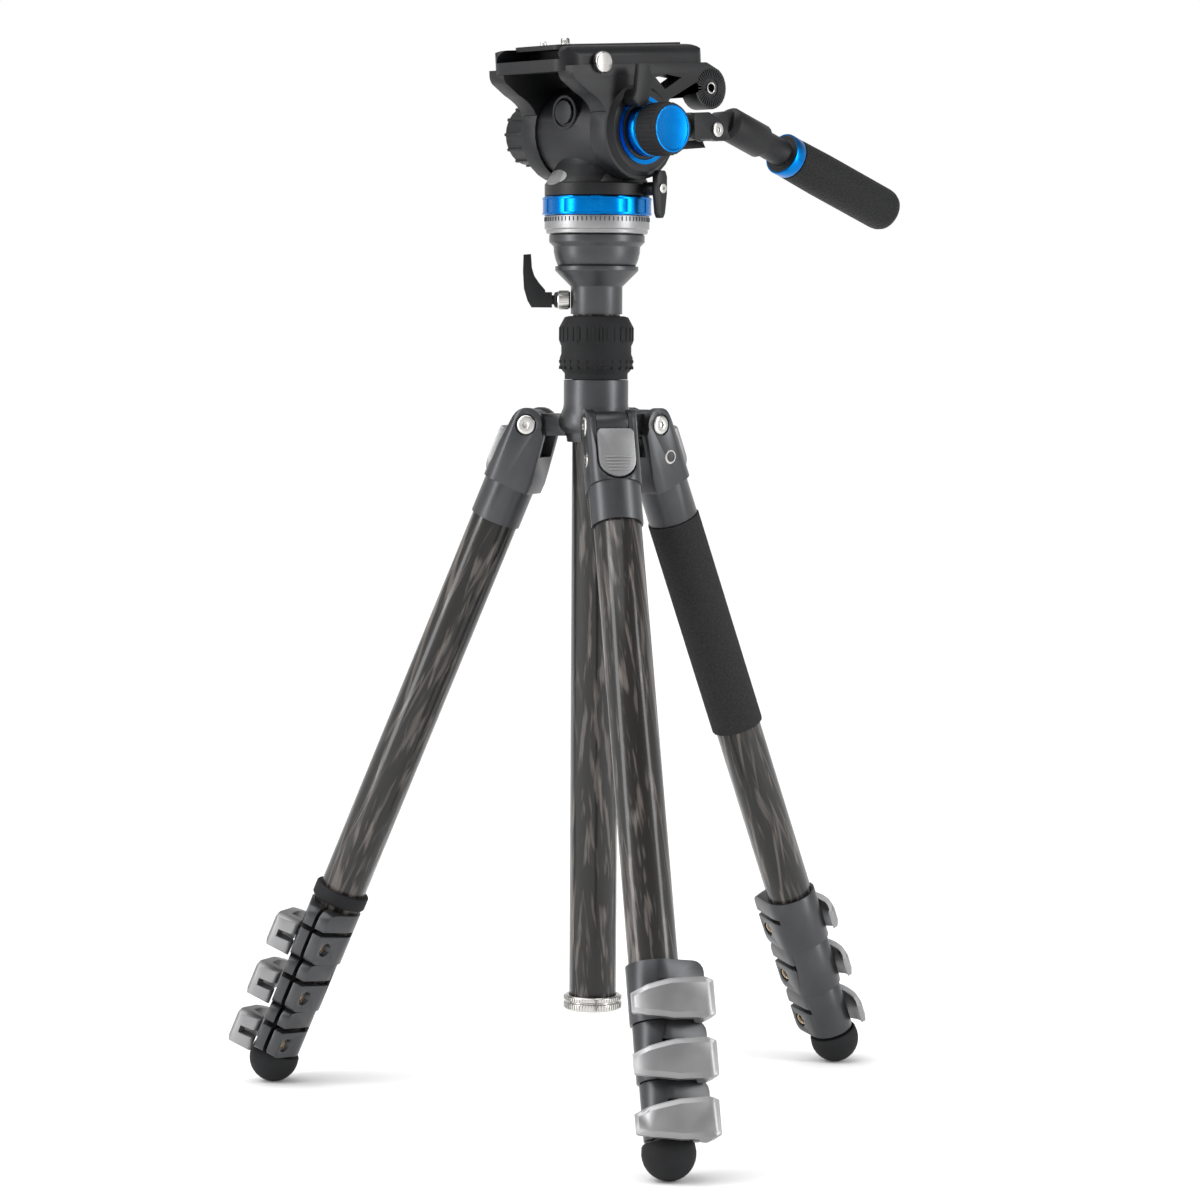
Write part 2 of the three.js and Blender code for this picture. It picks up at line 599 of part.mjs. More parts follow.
// The pan bar's carrier: a toothed disc on the rosette, and a cranked barrel that ends in a fork.
function barCarrier() {
  const disc = layAlongX(rod(13, -52, -41.3, 28)).translate(0, ROSETTE.y, ROSETTE.z);
  const crank = layAlongX(plate(polygon([
    [60, 684], [69, 677.9], [84, 656.4], [92, 655.8], [98, 675.6], [84, 682], [80, 692], [70, 698],
  ]), -56.6, -41.3));
  const barrel = layAlongY(rod(10, 84, 141, 28)).translate(BAR_PLANE - 4, 0, 666);
  const cheekShape = new THREE.Shape();
  cheekShape.moveTo(132, 657);
  cheekShape.lineTo(BAR_PIVOT.y - 5, BAR_PIVOT.z - 6.4);
  cheekShape.absarc(BAR_PIVOT.y, BAR_PIVOT.z, 8, -2.2, 1.2, false);
  cheekShape.lineTo(146, 675.6);
  cheekShape.lineTo(132, 675.6);
  const near = layAlongX(plate(cheekShape, BAR_PLANE + 5.3, BAR_PLANE + 9.3, 6));
  const far = near.clone().translate(-14.6, 0, 0);
  const bridge = block([BAR_PLANE - 9.3, BAR_PLANE + 9.3], [131, 141], [658, 674]);
  return join(disc, crank, barrel, bridge, near, far);
}

// The lever that clamps the carrier on its rosette.
function barClampLever() {
  const stem = layAlongX(rod(8, -66, -57.2, 20)).translate(0, ROSETTE.y, ROSETTE.z);
  const blade = new THREE.Shape();
  blade.moveTo(62, 694);
  blade.quadraticCurveTo(68, 702, 76, 694);
  blade.quadraticCurveTo(94, 665, 122, 658.6);
  blade.lineTo(162, 656);
  blade.lineTo(165, 650.6);
  blade.lineTo(134, 650);
  blade.quadraticCurveTo(94, 650, 70, 682);
  return join(stem, layAlongX(plate(blade, -66, -61.4, 8)));
}

// The pan bar, with its tongue on the fork's screw at the origin and its rod along +Z.
function panBar() {
  const axis = -BAR_OFFSET;
  const eye = layAlongX(rod(7.6, -5, 5, 20));
  const tongue = layAlongX(plate(polygon([
    [-7.2, -3], [-16, 6], [-20, 14], [-20, 22], [-4, 22], [3, 14], [7.2, 2],
  ]), -5, 5));
  const bar = turned([
    [0, 15], [9.6, 15], [12.4, 19], [12.4, 52], [9.75, 53], [9.75, 77], [13.4, 77], [15, 77.4], [15, 86],
    [14.5, 87], [15, 89], [15.8, 150], [15.8, 190], [14.6, 194.6], [11.5, 197.2], [0, 198],
  ]).translate(0, axis, 0);
  return join(eye, tongue, bar);
}

function addHead(model) {
  addPart(model, 'base_ring', baseRing(), LIGHT_METAL);
  addPart(model, 'pan_drag_ring', panDragRing(), BLUE_METAL);
  addPart(model, 'pan_body', panBody(), HEAD_PAINT);
  addPart(model, 'pan_lever', panLever(), HEAD_PAINT);
  addPart(model, 'counterbalance_knob', counterbalanceKnob(), HEAD_PAINT);
  addPart(model, 'drag_knob', dragKnob(), BLUE_METAL);
  const axle = new THREE.Group();
  axle.position.z = TILT_AXIS_HEIGHT;
  axle.rotation.x = REST_TILT;
  const carriage = new THREE.Group();
  carriage.position.z = -TILT_AXIS_HEIGHT;
  axle.add(carriage);
  model.add(axle);
  addPart(carriage, 'tilt_carriage', tiltCarriage(), HEAD_PAINT);
  addPart(carriage, 'tilt_lever', tiltLever(), HEAD_PAINT);
  addPart(carriage, 'camera_plate', cameraPlate(), HEAD_PAINT);
  addPart(carriage, 'plate_lock_knob', plateLockKnob(), SILVER);
  addPart(carriage, 'bar_carrier', barCarrier(), HEAD_PAINT);
  addPart(carriage, 'bar_clamp_lever', barClampLever(), HEAD_PAINT);
  const bar = new THREE.Group();
  bar.position.set(BAR_PLANE, BAR_PIVOT.y, BAR_PIVOT.z);
  bar.rotation.x = -THREE.MathUtils.degToRad(90 + BAR_SLOPE);
  carriage.add(bar);
  addPart(bar, 'pan_bar', panBar(), RUBBER);
}

// --- Assembly: the origin is under the middle of the whole object, on the floor ---------------------
const model = new THREE.Group();
LEGS.forEach((leg) => addLeg(model, leg));
addPart(model, 'hub', hub(), GREY_METAL);
addPart(model, 'column_lock_collar', columnLockCollar(), RUBBER);
addPart(model, 'centre_column', centreColumn(), CARBON);
addPart(model, 'column_end_ring', columnEndRing(), SILVER);
addPart(model, 'level_clamp_shoe', levelClampShoe(), BLACK_METAL);
addPart(model, 'level_ball', levelBall(), GREY_METAL);
addPart(model, 'level_lever', levelLever(), BLACK_METAL);
addHead(model);

const bounds = new THREE.Box3().setFromObject(model, true);
const middle = bounds.getCenter(new THREE.Vector3());
model.position.set(-middle.x, -middle.y, -bounds.min.z);

export default model;
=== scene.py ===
import json
import math

import bmesh
import bpy
from mathutils import Matrix, Vector


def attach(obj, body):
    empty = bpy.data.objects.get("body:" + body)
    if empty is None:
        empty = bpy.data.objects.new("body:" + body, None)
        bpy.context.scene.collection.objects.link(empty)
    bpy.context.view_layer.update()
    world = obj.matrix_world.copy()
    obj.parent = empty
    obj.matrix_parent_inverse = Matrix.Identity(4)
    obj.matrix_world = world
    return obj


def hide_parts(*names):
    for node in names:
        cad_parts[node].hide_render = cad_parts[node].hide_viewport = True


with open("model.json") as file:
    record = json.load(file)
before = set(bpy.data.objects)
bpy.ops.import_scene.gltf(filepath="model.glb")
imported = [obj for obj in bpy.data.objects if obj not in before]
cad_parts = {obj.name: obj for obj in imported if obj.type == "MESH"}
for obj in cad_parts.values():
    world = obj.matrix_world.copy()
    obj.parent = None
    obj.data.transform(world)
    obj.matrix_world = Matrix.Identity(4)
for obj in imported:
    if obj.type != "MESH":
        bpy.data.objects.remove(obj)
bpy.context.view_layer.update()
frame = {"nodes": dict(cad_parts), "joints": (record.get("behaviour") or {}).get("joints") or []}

joints = {joint["name"]: joint for joint in frame["joints"]}
mm = 0.001

# --- The view: a long lens that stands 2.5 m off, a little above the middle of the tripod ---------------
# It looks 46.5 degrees round from the pan bar's plane, and dips 4 degrees.
BEARING = 46.5
DISTANCE = 2.5267
EYE_HEIGHT = 0.5259
DIP = 4.045
axis_x, axis_y, _ = joints["pan"]["pos_m"]
camera_data = bpy.data.cameras.new("camera")
camera_data.sensor_width = 36
camera_data.lens = 111.46
camera = bpy.data.objects.new("camera", camera_data)
bpy.context.scene.collection.objects.link(camera)
front = Matrix.Rotation(math.radians(BEARING), 4, "Z")
place = Matrix.Translation((axis_x, axis_y, 0)) @ front @ Matrix.Translation((0, -DISTANCE, EYE_HEIGHT))
aim = Matrix.Rotation(math.radians(-0.08), 4, "Z") @ Matrix.Rotation(math.radians(90 - DIP), 4, "X")
camera.matrix_world = place @ aim @ Matrix.Rotation(math.radians(0.336), 4, "Z")
bpy.context.scene.camera = camera


# --- The studio: a pale floor under a soft overhead light, with a tall soft box on each side ------------
# The sky is white at the floor's edge and greyer overhead, so that metal and gloss have something to show.
class Wire:
    """A shader socket that takes Python's operators."""

    def __init__(self, tree, socket):
        self.tree = tree
        self.socket = socket

    def node(self, kind, settings, inputs, output=0):
        """Adds a node with its settings and the values or links of its sockets."""
        made = self.tree.nodes.new(kind)
        for name, value in settings.items():
            setattr(made, name, value)
        for name, value in inputs.items():
            if isinstance(value, Wire):
                self.tree.links.new(value.socket, made.inputs[name])
            else:
                made.inputs[name].default_value = value
        return Wire(self.tree, made.outputs[output])

    def math(self, operation, a, b):
        return self.node("ShaderNodeMath", {"operation": operation}, {0: a, 1: b})

    def __add__(self, other):
        return self.math("ADD", self, other)

    def __radd__(self, other):
        return self.math("ADD", other, self)

    def __sub__(self, other):
        return self.math("SUBTRACT", self, other)

    def __rsub__(self, other):
        return self.math("SUBTRACT", other, self)

    def __mul__(self, other):
        return self.math("MULTIPLY", self, other)

    def __rmul__(self, other):
        return self.math("MULTIPLY", other, self)

    def blend(self, low, high):
        """low where this is 0 and high where it is 1, both colours."""
        made = self.tree.nodes.new("ShaderNodeMix")
        made.data_type = "RGBA"
        self.tree.links.new(self.socket, made.inputs[0])
        for socket, value in ((made.inputs[6], low), (made.inputs[7], high)):
            if isinstance(value, Wire):
                self.tree.links.new(value.socket, socket)
            else:
                socket.default_value = (*value, 1)
        return Wire(self.tree, made.outputs[2])

    def noise(self, scale, detail=2.0):
        return self.node("ShaderNodeTexNoise", {}, {"Vector": self, "Scale": scale, "Detail": detail})

    def ramp(self, low, high):
        """0 below low and 1 above high."""
        return self.node("ShaderNodeMapRange", {"interpolation_type": "SMOOTHSTEP"},
                         {"Value": self, "From Min": low, "From Max": high})

    def turned_by(self, angles, scale=(1, 1, 1)):
        return self.node("ShaderNodeMapping", {"vector_type": "TEXTURE"},
                         {"Vector": self, "Rotation": angles, "Scale": scale})

    def bump(self, strength, depth):
        return self.node("ShaderNodeBump", {}, {"Height": self, "Strength": strength, "Distance": depth})


bpy.ops.object.select_all(action="DESELECT")
bpy.ops.mesh.primitive_plane_add(size=40, location=(0, 0, -0.0005))
floor = bpy.context.object
floor.name = "floor"
floor_paint = bpy.data.materials.new("floor_paint")
floor_paint.use_nodes = True
floor_paint.node_tree.nodes["Principled BSDF"].inputs["Base Color"].default_value = (0.96, 0.96, 0.96, 1)
floor_paint.node_tree.nodes["Principled BSDF"].inputs["Roughness"].default_value = 0.7
floor.data.materials.append(floor_paint)
bpy.context.scene.view_settings.view_transform = "Standard"
world = bpy.data.worlds.new("studio")
bpy.context.scene.world = world
world.use_nodes = True
sky = world.node_tree.nodes["Background"]
sky.inputs["Color"].default_value = (1, 1, 1, 1)
overhead = Wire(world.node_tree, None).node("ShaderNodeTexCoord", {}, {}, "Generated")
height = overhead.node("ShaderNodeSeparateXYZ", {}, {0: overhead}, "Z")
strength = height.node("ShaderNodeMapRange", {}, {"Value": height, "From Min": 0.12, "From Max": 0.6,
                                                  "To Min": 1.0, "To Max": 0.3})
world.node_tree.links.new(strength.socket, sky.inputs["Strength"])
sun_data = bpy.data.lights.new("soft_overhead", "SUN")
sun_data.energy = 2.4
sun_data.angle = math.radians(70)
sun = bpy.data.objects.new("soft_overhead", sun_data)
bpy.context.scene.collection.objects.link(sun)
sun.rotation_euler = (math.radians(12), math.radians(-8), 0)


def soft_box(name, bearing, distance, height, width, tall, power):
    """A tall lamp at a bearing from the camera, aimed at the middle of the tripod."""
    data = bpy.data.lights.new(name, "AREA")
    data.shape = "RECTANGLE"
    data.size = width
    data.size_y = tall
    data.energy = power
    lamp = bpy.data.objects.new(name, data)
    bpy.context.scene.collection.objects.link(lamp)
    at = front @ Vector((distance * math.sin(bearing), -distance * math.cos(bearing), height))
    lamp.location = at
    lamp.rotation_euler = (Vector((0, 0, 0.42)) - at).to_track_quat("-Z", "Y").to_euler()


soft_box("left_box", math.radians(-68), 1.7, 0.9, 0.45, 1.8, 20)
soft_box("right_box", math.radians(62), 1.7, 0.9, 0.45, 1.8, 20)


# --- Leg and column tubes: carbon cloth under clear lacquer, with long pale streaks in the lay-up -------
# Each tube is a thin-walled straight pipe. Its pattern runs along the tube, so the material is turned
# to the leg that the tube belongs to.
def new_material(name, metallic, roughness, coat=0.0, gloss=0.5):
    """A principled material, and a wire that carries the object's own coordinates."""
    material = bpy.data.materials.new(name)
    material.use_nodes = True
    shader = material.node_tree.nodes["Principled BSDF"]
    shader.inputs["Metallic"].default_value = metallic
    shader.inputs["Roughness"].default_value = roughness
    shader.inputs["Coat Weight"].default_value = coat
    shader.inputs["Specular IOR Level"].default_value = gloss
    shader.inputs["Coat Roughness"].default_value = 0.12
    start = Wire(material.node_tree, None)
    at = start.node("ShaderNodeTexCoord", {}, {}, "Object")
    return material, shader, at


def feed(shader, **wires):
    for name, wire in wires.items():
        wire.tree.links.new(wire.socket, shader.inputs[name.replace("_", " ")])


def carbon(name, lie):
    """Dark lay-up with pale streaks that run up the tube and lean a few degrees each way."""
    material, shader, at = new_material(name, 0.1, 0.36, coat=0.45, gloss=0.2)
    along = at.turned_by(lie)
    lean_a = along.turned_by((0.1, 0.09, 0), (1, 1, 26)).noise(230)
    lean_b = along.turned_by((-0.1, -0.09, 0.8), (1, 1, 28)).noise(260)
    fibre = along.turned_by((0, 0, 0), (1, 1, 60)).noise(900)
    streaks = lean_a.ramp(0.53, 0.68) * 0.75 + lean_b.ramp(0.55, 0.7) * 0.55
    shade = streaks * (fibre * 0.7 + 0.55)
    feed(shader, Base_Color=shade.blend((0.0105, 0.0095, 0.0088), (0.12, 0.105, 0.095)),
         Roughness=streaks * -0.08 + 0.38)
    return material


def soften(piece, bevel, angle=32):
    """Rounds every edge sharper than the angle, and shades the rest smooth."""
    bpy.ops.object.select_all(action="DESELECT")
    bpy.context.view_layer.objects.active = piece
    piece.select_set(True)
    if bevel:
        rounding = piece.modifiers.new("edges", "BEVEL")
        rounding.width = bevel * mm
        rounding.segments = 2
        rounding.limit_method = "ANGLE"
        rounding.angle_limit = math.radians(angle)
        bpy.ops.object.modifier_apply(modifier="edges")
    bpy.ops.object.shade_smooth_by_angle(angle=math.radians(angle))


def refined(node, body, material, bevel=0.35, round_angle=32):
    """The CAD node's own shape with its edges rounded, riding where the node rides."""
    bpy.ops.object.select_all(action="DESELECT")
    piece = bpy.data.objects.new("fine_" + node, frame["nodes"][node].data.copy())
    bpy.context.scene.collection.objects.link(piece)
    bpy.context.view_layer.objects.active = piece
    piece.select_set(True)
    bpy.ops.object.mode_set(mode="EDIT")
    bpy.ops.mesh.select_all(action="SELECT")
    bpy.ops.mesh.remove_doubles(threshold=0.00001)
    bpy.ops.mesh.dissolve_limited(angle_limit=math.radians(1))
    bpy.ops.object.mode_set(mode="OBJECT")
    soften(piece, bevel, round_angle)
    piece.data.materials.clear()
    piece.data.materials.append(material)
    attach(piece, body)
    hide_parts(node)
    return piece


LEGS = ("left_leg", "rear_leg", "right_leg")


def leg_axes(leg):
    """The leg's own axes at its hinge: X outwards, Y across, Z up the leg."""
    hinge = joints[leg + "_spread"]
    across = -Vector(hinge["axis"])
    up = -Vector(joints[leg + "_section_2_slide"]["axis"])
    out = across.cross(up)
    turned = Matrix((out, across, up)).transposed().to_4x4()
    return Matrix.Translation(hinge["pos_m"]) @ turned


leg_carbon = {leg: carbon(leg + "_carbon", tuple(leg_axes(leg).to_euler())) for leg in LEGS}
column_carbon = carbon("column_carbon", (0, 0, 0))
for leg in LEGS:
    for number in range(1, 5):
        body = leg if number == 1 else f"{leg}_section_{number}"
        refined(f"{leg}_tube_{number}", body, leg_carbon[leg], bevel=0.2)


# --- Leg shoulders: cast and satin-painted, each with its angle tab and two hinge screws ---------------
# The ears straddle the hub's lug. A button-head screw closes the hinge on each side, and one side has a
# threaded insert for an accessory arm. The tab has five thumb ridges.
def satin_grey():
    material, shader, at = new_material("satin_grey", 0.8, 0.34, gloss=0.25)
    grain = at.noise(2600, 2)
    cloud = at.noise(22, 3)
    feed(shader, Base_Color=cloud.ramp(0.3, 0.7).blend((0.056, 0.057, 0.06), (0.072, 0.073, 0.076)),
         Roughness=cloud * 0.1 + 0.3, Normal=grain.bump(0.12, 0.0002))
    return material


def light_alloy():
    material, shader, at = new_material("light_alloy", 0.85, 0.4)
    grain = at.noise(3000, 2)
    cloud = at.noise(40, 3)
    feed(shader, Base_Color=cloud.ramp(0.3, 0.7).blend((0.25, 0.25, 0.255), (0.29, 0.29, 0.293)),
         Roughness=cloud * 0.12 + 0.34, Normal=grain.bump(0.15, 0.0002))
    return material


def bright_alloy():
    material, shader, at = new_material("bright_alloy", 1.0, 0.24)
    scratch = at.turned_by((0.4, 0.2, 0), (1, 1, 0.1)).noise(700, 3)
    feed(shader, Base_Color=scratch.ramp(0.2, 0.8).blend((0.45, 0.44, 0.42), (0.6, 0.59, 0.57)),
         Roughness=scratch * 0.16 + 0.15)
    return material


grey = satin_grey()
alloy = light_alloy()
bright = bright_alloy()


def turned(name, steps, sides=48):
    """A turned piece about Z: a disc, extruded and scaled from one (radius, height) to the next.

    A profile that ends where it starts makes a ring.
    """
    bpy.ops.object.select_all(action="DESELECT")
    radius, height = steps[0]
    bpy.ops.mesh.primitive_circle_add(vertices=sides, radius=radius * mm, fill_type="NGON",
                                      location=(0, 0, height * mm))
    piece = bpy.context.object
    piece.name = name
    bpy.ops.object.transform_apply(location=True)
    bpy.ops.object.mode_set(mode="EDIT")
    bpy.ops.mesh.select_all(action="SELECT")
    for next_radius, next_height in steps[1:]:
        rise = (next_height - height) * mm
        bpy.ops.mesh.extrude_region_move(TRANSFORM_OT_translate={"value": (0, 0, rise)})
        scale = next_radius / radius
        bpy.ops.transform.resize(value=(scale, scale, 1), center_override=(0, 0, next_height * mm))
        radius, height = next_radius, next_height
    if steps[0] == steps[-1]:
        bpy.ops.mesh.select_all(action="DESELECT")
        bpy.ops.mesh.select_face_by_sides(number=sides, type="EQUAL")
        bpy.ops.mesh.delete(type="FACE")
    bpy.ops.mesh.select_all(action="SELECT")
    bpy.ops.mesh.remove_doubles(threshold=0.000001)
    bpy.ops.mesh.normals_make_consistent(inside=False)
    bpy.ops.object.mode_set(mode="OBJECT")
    return piece


def settle(piece, matrix, body, material, bevel=0.0, angle=32):
    """Rounds the edges, puts the piece's place into its mesh and lets it ride on its body."""
    soften(piece, bevel, angle)
    piece.matrix_world = matrix
    bpy.ops.object.transform_apply(location=True, rotation=True, scale=True)
    piece.data.materials.clear()
    piece.data.materials.append(material)
    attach(piece, body)
    return piece


def facing(axes, point, direction):
    """A place on the given axes, with the piece's own Z along the direction."""
    tilt = Vector(direction).to_track_quat("Z", "Y").to_matrix().to_4x4()
    return axes @ Matrix.Translation(Vector(point) * mm) @ tilt


def drive(piece, width, depth, top, sides=6):
    """Sinks a key socket of the given width into the piece's flat top."""
    bpy.ops.object.select_all(action="DESELECT")
    bpy.ops.mesh.primitive_cylinder_add(vertices=sides, radius=width * mm / 2, depth=2 * depth * mm,
                                        location=(0, 0, top * mm))
    tool = bpy.context.object
    cut = piece.modifiers.new("socket", "BOOLEAN")
    cut.object = tool
    cut.solver = "EXACT"
    bpy.context.view_layer.objects.active = piece
    bpy.ops.object.modifier_apply(modifier="socket")
    bpy.data.objects.remove(tool)


def bar(name, low, high):
    """A small box between two corners, in millimetres."""
    bpy.ops.object.select_all(action="DESELECT")
    bpy.ops.mesh.primitive_cube_add(size=1, location=(0, 0, 0))
    piece = bpy.context.object
    piece.name = name
    size = [(b - a) * mm for a, b in zip(low, high)]
    bpy.ops.transform.resize(value=size)
    piece.location = [(a + b) * mm / 2 for a, b in zip(low, high)]
    bpy.ops.object.transform_apply(location=True, scale=True)
    return piece


def screw(name, radius, head, socket, ring=0.7):
    """A domed socket-head screw whose underside is at height 0."""
    piece = turned(name, [(radius, -1.0), (radius, head * ring), (radius * 0.9, head * 0.92),
                          (radius * 0.72, head)], 32)
    drive(piece, socket, head * 0.7, head)
    return piece


HINGE_SCREW = {"radius": 6.6, "seat": 15.3, "head": 2.6, "socket": 4.6}
INSERT = {"radius": 5.0, "x": -0.6, "z": -23.6, "face": 17.1}
RIDGE = {"count": 5, "width": 17.5, "narrowing": 0.9, "face": 18.3, "top": -28.6, "pitch": 2.3}
for leg in LEGS:
    axes = leg_axes(leg)
    refined(leg + "_shoulder", leg, grey, bevel=0.7)
    refined(leg + "_angle_tab", leg + "_angle_tab", alloy, bevel=0.4)
    for number, side in enumerate((-1, 1), 1):
        head = screw(f"{leg}_hinge_screw_{number}", HINGE_SCREW["radius"], HINGE_SCREW["head"],
                     HINGE_SCREW["socket"])
        seat = (0, side * HINGE_SCREW["seat"], 0)
        settle(head, facing(axes, seat, (0, side, 0)), leg, bright, bevel=0.25)
    insert = turned(f"{leg}_accessory_insert",
                    [(INSERT["radius"], -3), (INSERT["radius"], 0.5), (INSERT["radius"] - 0.5, 0.9),
                     (INSERT["radius"] - 1.4, 0.9), (INSERT["radius"] - 1.7, -2.4)], 32)
    spot = (INSERT["x"], -INSERT["face"], INSERT["z"])
    settle(insert, facing(axes, spot, (0, -1, 0)), leg, bright)
    for number in range(RIDGE["count"]):
        half = (RIDGE["width"] - RIDGE["narrowing"] * number) / 2
        ridge = bar(f"{leg}_tab_ridge_{number + 1}", (-0.45, -half, -0.55), (0.45, half, 0.55))
        spot = (RIDGE["face"], 0, RIDGE["top"] - RIDGE["pitch"] * number)
        settle(ridge, facing(axes, spot, (0, 0, 1)), leg + "_angle_tab", alloy, bevel=0.3)


# --- Leg clamps and flip levers: split castings, each closed by an alloy lever on a cross bolt ---------
# The lever has a raised panel on its face. One side of the clamp shows the bolt in a brass sleeve and a
# brass pin, and the other side a brass ring in a black seat.
def brass_finish():
    material, shader, at = new_material("brass", 1.0, 0.3)
    cloud = at.noise(500, 3)
    feed(shader, Base_Color=cloud.blend((0.42, 0.32, 0.22), (0.56, 0.45, 0.33)), Roughness=cloud * 0.2 + 0.2)
    return material


def black_metal_finish():
    material, shader, at = new_material("black_metal", 0.3, 0.38, gloss=0.3)
    grain = at.noise(2800, 2)
    cloud = at.noise(30, 3)
    feed(shader, Base_Color=cloud.blend((0.007, 0.0072, 0.008), (0.013, 0.0135, 0.0145)),
         Roughness=cloud * 0.14 + 0.34, Normal=grain.bump(0.14, 0.0002))
    return material


def trim_corner(piece, axes, point, normal):
    """Cuts the piece with a plane given in the leg's own axes, and closes the cut."""
    bpy.ops.object.select_all(action="DESELECT")
    bpy.context.view_layer.objects.active = piece
    piece.select_set(True)
    bpy.ops.object.mode_set(mode="EDIT")
    bpy.ops.mesh.select_all(action="SELECT")
    bpy.ops.mesh.bisect(plane_co=axes @ (Vector(point) * mm), plane_no=axes.to_3x3() @ Vector(normal),
                        use_fill=True, clear_outer=True)
    bpy.ops.object.mode_set(mode="OBJECT")


def raise_panel(lever, axes):
    """Insets the lever's outer face and lifts it, which leaves a bevelled panel."""
    outward = axes.to_3x3().col[0]
    bpy.ops.object.mode_set(mode="EDIT")
    bpy.ops.mesh.select_mode(type="FACE")
    bpy.ops.mesh.select_all(action="DESELECT")
    shape = bmesh.from_edit_mesh(lever.data)
    far = max(outward.dot(face.calc_center_median()) for face in shape.faces)
    for face in shape.faces:
        faces_out = outward.dot(face.normal) > 0.6
        face.select_set(faces_out and outward.dot(face.calc_center_median()) > far - 12 * mm)
    bmesh.update_edit_mesh(lever.data)
    bpy.ops.mesh.inset(thickness=0.7 * mm, depth=0)
    bpy.ops.mesh.inset(thickness=2.8 * mm, depth=0.9 * mm)
    bpy.ops.mesh.select_mode(type="VERT")
    bpy.ops.object.mode_set(mode="OBJECT")


brass = brass_finish()
black_metal = black_metal_finish()
CLAMP_TOPS = (368.7, 407.3, 445.0)
CLAMP_RADII = (18.2, 16.8, 15.3)
LEVER_DROP = 27.6
SEAT_DROP = 6.4
BOLT_DROP = 26.5
for leg in LEGS:
    axes = leg_axes(leg)
    for index, (top, radius) in enumerate(zip(CLAMP_TOPS, CLAMP_RADII)):
        number = index + 1
        body = leg if index == 0 else f"{leg}_section_{number}"
        refined(f"{leg}_clamp_{number}", body, grey, bevel=0.5)
        lever = refined(f"{leg}_lever_{number}", f"{leg}_lever_{number}", alloy, bevel=0)
        heel = radius + 13.7
        middle = -top - LEVER_DROP
        trim_corner(lever, axes, (0, heel - 7, middle + 13.3), (0, 0.34, 1))
        trim_corner(lever, axes, (0, heel - 7, middle - 13.3), (0, 0.34, -1))
        raise_panel(lever, axes)
        soften(lever, 0.4)
        seat = turned(f"{leg}_clamp_{number}_screw_seat", [(3.3, -2), (3.3, 0.25), (2.9, 0.4)], 28)
        place = facing(axes, (8.3, radius + 7.6, -top - SEAT_DROP), (1, 0, 0))
        settle(seat, place, body, black_metal)
        ring = turned(f"{leg}_clamp_{number}_screw_ring",
                      [(2.3, 0), (2.3, 0.7), (1.5, 0.7), (1.5, 0.45)], 24)
        settle(ring, place, body, brass)
        bolt = screw(f"{leg}_clamp_{number}_bolt", 3.1, 1.6, 2.4)
        place = facing(axes, (-5.6, radius + 3.4, -top - BOLT_DROP), (-1, 0, 0))
        settle(bolt, place, body, bright, bevel=0.2)
        sleeve = turned(f"{leg}_clamp_{number}_bolt_sleeve",
                        [(3.5, -0.2), (4.7, -0.2), (4.7, 2.9), (4.3, 3.2), (3.5, 3.0), (3.5, -0.2)], 40)
        settle(sleeve, place, body, brass)
        pin = turned(f"{leg}_clamp_{number}_pin", [(2.2, -2), (2.2, 0.4), (1.8, 0.7)], 24)
        place = facing(axes, (-8.3, radius + 7.2, -top - SEAT_DROP), (-1, 0, 0))
        settle(pin, place, body, brass)


# --- Feet and sleeve: moulded rubber ball feet, and closed-cell foam round one leg ----------------------
# Each foot is pushed over the end of the lowest tube and is flattened where it stands. The foam is a
# sleeve that is rolled on, as a warm hand grip.
def rubber_finish(name, tone):
    material, shader, at = new_material(name, 0.0, 0.6, gloss=0.22)
    grain = at.noise(1800, 4)
    cloud = at.noise(35, 3)
    high = tuple(1.5 * value for value in tone)
    feed(shader, Base_Color=cloud.ramp(0.3, 0.7).blend(tone, high),
         Roughness=cloud * 0.2 + 0.6, Normal=grain.bump(0.3, 0.0004))
    return material


def foam_finish():
    material, shader, at = new_material("foam", 0.0, 0.92, gloss=0.15)
    cells = at.node("ShaderNodeTexVoronoi", {}, {"Vector": at, "Scale": 1500})
    feed(shader, Base_Color=cells.ramp(0.1, 0.7).blend((0.011, 0.011, 0.012), (0.028, 0.028, 0.029)),
         Normal=cells.bump(0.5, 0.0005))
    return material


rubber = rubber_finish("rubber", (0.007, 0.0073, 0.008))
foam = foam_finish()
FOOT = {"radius": 17.4, "centre": -489.14, "collar": 16.0, "mouth": -483.2, "bore": 10.9, "seat": -497.0}
for leg in LEGS:
    dome = [(FOOT["radius"] * math.cos(lift), FOOT["centre"] - FOOT["radius"] * math.sin(lift))
            for lift in (math.radians(10 * step) for step in range(9))]
    cup = [(FOOT["bore"], FOOT["seat"]), (FOOT["bore"], FOOT["mouth"]), (FOOT["collar"], FOOT["mouth"]),
           (16.9, FOOT["mouth"] - 1.2)]
    ball = turned(leg + "_ball_foot", cup + dome, 64)
    settle(ball, leg_axes(leg), leg + "_section_4", rubber)
    bpy.ops.object.mode_set(mode="EDIT")
    bpy.ops.mesh.select_all(action="SELECT")
    bpy.ops.mesh.bisect(plane_co=(0, 0, 0.00001), plane_no=(0, 0, -1), use_fill=True, clear_outer=True)
    bpy.ops.object.mode_set(mode="OBJECT")
    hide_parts(leg + "_foot")
refined("rear_leg_foam_sleeve", "rear_leg", foam, bevel=0.6)


# --- Clip ring: a snap-on plastic band that keeps the folded legs together ------------------------------
# It is moulded in black and clipped round one upper tube, just above the first clamp.
clip = turned("leg_clip_ring", [(16.4, -365.1), (18.6, -365.1), (19.2, -364.2), (19.2, -356.4),
                                (18.6, -355.6), (16.4, -355.6)], 64)
settle(clip, leg_axes("right_leg"), "right_leg", rubber, bevel=0.3)


